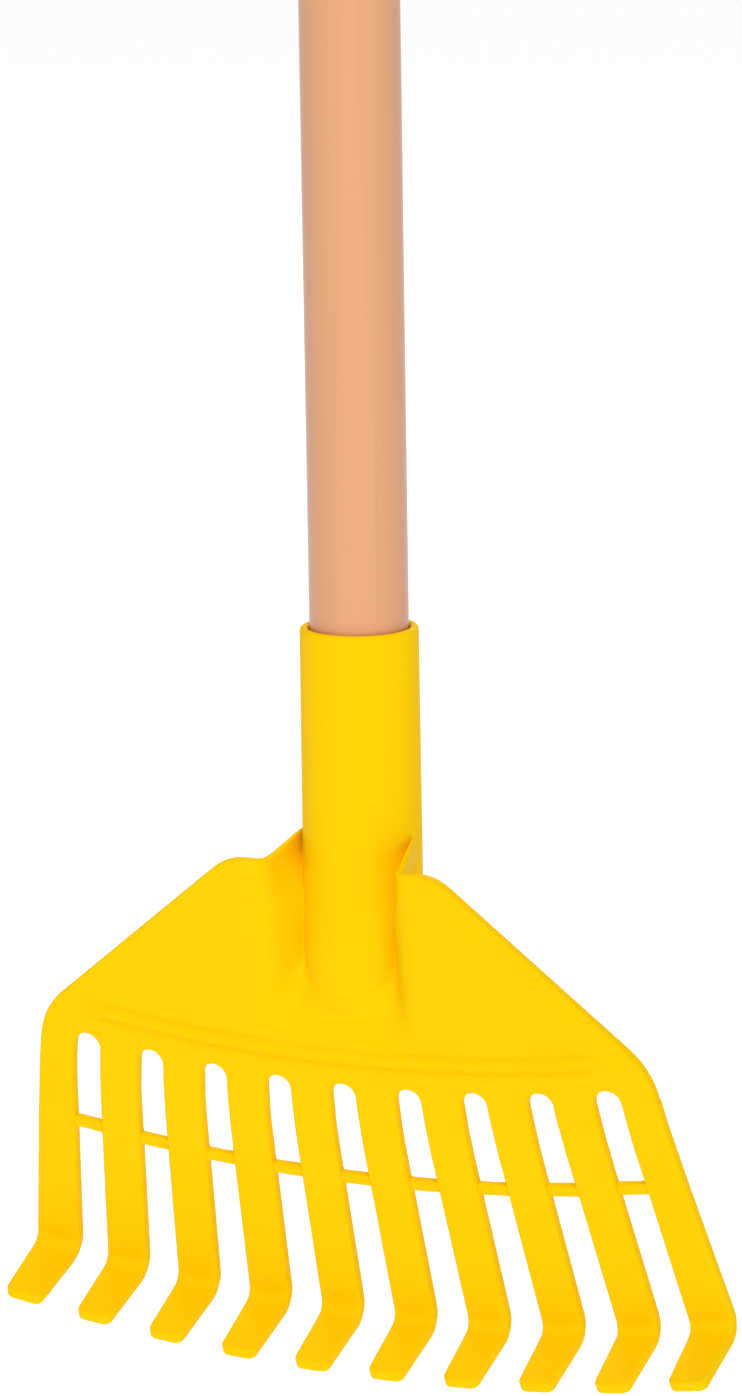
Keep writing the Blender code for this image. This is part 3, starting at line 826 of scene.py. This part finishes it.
def makeHandle():
    radius, length = handleSet["radius"] * mm, handleSet["length"] * mm
    rounding, chamfer = handleSet["topRound"] * mm, handleSet["footChamfer"] * mm
    profile = [(0, 0), (radius * handleSet["topRing"], 0)]
    profile += [(radius - rounding * handleSet["topEdge"], 0)]
    for step in range(handleSet["topSteps"] + 1):
        turn = math.pi / 2 * step / handleSet["topSteps"]
        profile.append((
            radius - rounding + rounding * math.sin(turn), -rounding + rounding * math.cos(turn)
        ))
    straight = np.linspace(-rounding, -length + chamfer, handleSet["rows"])[1:]
    profile += [(radius, height) for height in straight]
    profile += [(radius - chamfer, -length), (0, -length)]
    mesh = turnedMesh("handleDowel", profile, handleSet["around"])
    mesh.set_sharp_from_angle(angle=handleSet["sharpAngle"])
    addPiece("handleDowel", mesh, wood, "handle")
    print("handle made")


makeHandle()


# retaining screw: domed head with a cross recess, thread and point
screwSet = {
    "drop": 26.0,
    "seat": 16.5,
    "headRadius": 4.0,
    "headHeight": 2.6,
    "headChamfer": 0.25,
    "dome": 0.6,  # share of the head's height
    "domeSteps": 12,
    "crest": 2.0,
    "core": 1.4,
    "pitch": 1.8,
    "threads": 5,
    "threadStart": 0.4,  # in pitches, as the falls of the thread's outline
    "threadShape": (("core", 0.0), ("crest", 0.28), ("crest", 0.34), ("core", 0.6)),
    "length": 14.0,
    "point": 2.0,
    "recessWidth": 1.0,
    "recessSpan": 4.6,
    "recessDepth": 1.6,
    "around": 48,
    "merge": 0.004,
    "sharpAngle": math.radians(35),
}


def screwProfile():
    head, high, dome = screwSet["headRadius"], screwSet["headHeight"], screwSet["dome"]
    core, pitch, chamfer = screwSet["core"], screwSet["pitch"], screwSet["headChamfer"]
    profile = [(0, high)]
    for step in range(1, screwSet["domeSteps"] + 1):
        turn = math.pi / 2 * step / screwSet["domeSteps"]
        profile.append((head * math.sin(turn), high * (1 - dome) + high * dome * math.cos(turn)))
    profile += [(head, chamfer), (head - chamfer, 0), (core, 0)]
    for thread in range(screwSet["threads"]):
        top = -(thread + screwSet["threadStart"]) * pitch
        for radius, fall in screwSet["threadShape"]:
            profile.append((screwSet[radius], top - fall * pitch))
    profile += [(core, -screwSet["length"] + screwSet["point"]), (0, -screwSet["length"])]
    return [(radius * mm, height * mm) for radius, height in profile]


def cutRecess(piece, turn):  # one blade of the cross
    bm = bmesh.new()
    bmesh.ops.create_cube(bm, size=1)
    span, width, depth = (screwSet["recess" + name] * mm for name in ("Span", "Width", "Depth"))
    bmesh.ops.scale(bm, vec=(span, width, 2 * depth), verts=bm.verts)
    bmesh.ops.rotate(bm, cent=(0, 0, 0), matrix=Matrix.Rotation(turn, 3, "Z"), verts=bm.verts)
    bmesh.ops.translate(bm, vec=(0, 0, screwSet["headHeight"] * mm), verts=bm.verts)
    bladeMesh = bpy.data.meshes.new("blade")
    bm.to_mesh(bladeMesh)
    bm.free()
    blade = addObject("blade", bladeMesh)
    cut = piece.modifiers.new("recess", "BOOLEAN")
    cut.operation = "DIFFERENCE"
    cut.solver = "EXACT"
    cut.object = blade
    bpy.context.view_layer.update()
    evaluated = piece.evaluated_get(bpy.context.evaluated_depsgraph_get())
    cutMesh = bpy.data.meshes.new_from_object(evaluated)
    piece.modifiers.clear()
    piece.data = cutMesh
    bpy.data.objects.remove(blade, do_unlink=True)


def makeScrew():
    mesh = turnedMesh("retainingScrew", screwProfile(), screwSet["around"])
    piece = addPiece("retainingScrew", mesh, zinc, "retaining_screw")
    for turn in (0, math.pi / 2):
        cutRecess(piece, turn)
    bm = bmesh.new()
    bm.from_mesh(piece.data)
    bmesh.ops.remove_doubles(bm, verts=bm.verts, dist=screwSet["merge"] * mm)
    bmesh.ops.dissolve_degenerate(bm, edges=bm.edges, dist=screwSet["merge"] * mm)
    bm.to_mesh(piece.data)
    bm.free()
    place = Matrix.Translation((0, screwSet["seat"] * mm, mouthZ - screwSet["drop"] * mm))
    piece.data.transform(place @ Matrix.Rotation(-math.pi / 2, 4, "X"))
    piece.data.set_sharp_from_angle(angle=screwSet["sharpAngle"])
    print("screw made")


makeScrew()


# pale floor that sweeps up into a wall all round, and a bright even tent of light
stageSet = {
    "floorColour": (0.30, 0.30, 0.30),
    "floorRoughness": 0.9,
    "floorGlow": 0.90,
    "floorDrop": 0.12,
    "floorRadius": 7.0,
    "sweepRadius": 5.0,
    "sweepSteps": 16,
    "wallHeight": 12.0,
    "wallShade": (0.14, 0.14, 0.14),
    "wallShadeHeight": 4.0,
    "around": 96,
    "worldStrength": 0.08,
    "aimBelowMouth": 0.08,
    "lights": {  # azimuth and elevation in degrees, distance and size in metres, power in watts
        "front": (28, 36, 3.8, 2.4, 31.0),
        "upper": (20, 60, 3.8, 2.4, 52.0),
        "overhead": (0, 85, 3.6, 2.8, 18.0),
        "rear": (198, 36, 3.8, 2.8, 48.0),
    },
}


def addFloor():
    flat, sweep = stageSet["floorRadius"], stageSet["sweepRadius"]
    profile = [(0, 0), (flat / 2, 0)]
    for turn in np.linspace(0, math.pi / 2, stageSet["sweepSteps"] + 1):
        profile.append((flat + sweep * math.sin(turn), sweep - sweep * math.cos(turn)))
    profile.append((flat + sweep, stageSet["wallHeight"]))
    mesh = turnedMesh("paleFloor", profile, stageSet["around"])
    floor = addObject("paleFloor", mesh)
    floor.location = (0, 0, cadBox[0][2] - stageSet["floorDrop"])
    finish = Finish("paleFloor")
    finish.set(baseColor=(*stageSet["floorColour"], 1.0), specularIorLevel=0.0)
    finish.set(roughness=stageSet["floorRoughness"])
    height = finish.add("ShaderNodeSeparateXYZ", {}, {0: finish.place((1, 1, 1))}, output=2)
    rise = finish.add(
        "ShaderNodeMapRange",
        {"interpolation_type": "SMOOTHSTEP"},
        {0: height, 2: stageSet["wallShadeHeight"]},
    )
    finish.set(emissionColor=finish.blend(rise, (1, 1, 1), stageSet["wallShade"]))
    finish.set(emissionStrength=stageSet["floorGlow"])
    mesh.materials.append(finish.material)


def addLights():
    world = bpy.data.worlds.new("lightTent")
    world.use_nodes = True
    background = world.node_tree.nodes["Background"]
    background.inputs["Color"].default_value = (1, 1, 1, 1)
    background.inputs["Strength"].default_value = stageSet["worldStrength"]
    bpy.context.scene.world = world
    aim = Vector((0, 0, mouthZ - stageSet["aimBelowMouth"]))
    for name, (azimuth, elevation, distance, size, power) in stageSet["lights"].items():
        data = bpy.data.lights.new(name, "AREA")
        data.shape = "DISK"
        data.size = size
        data.energy = power
        light = addObject(name, data)
        light.location = aim + distance * towards(azimuth, elevation)
        light.rotation_euler = (aim - light.location).to_track_quat("-Z", "Y").to_euler()
    bpy.context.scene.view_settings.view_transform = "Standard"


addFloor()
addLights()
print("stage lit")
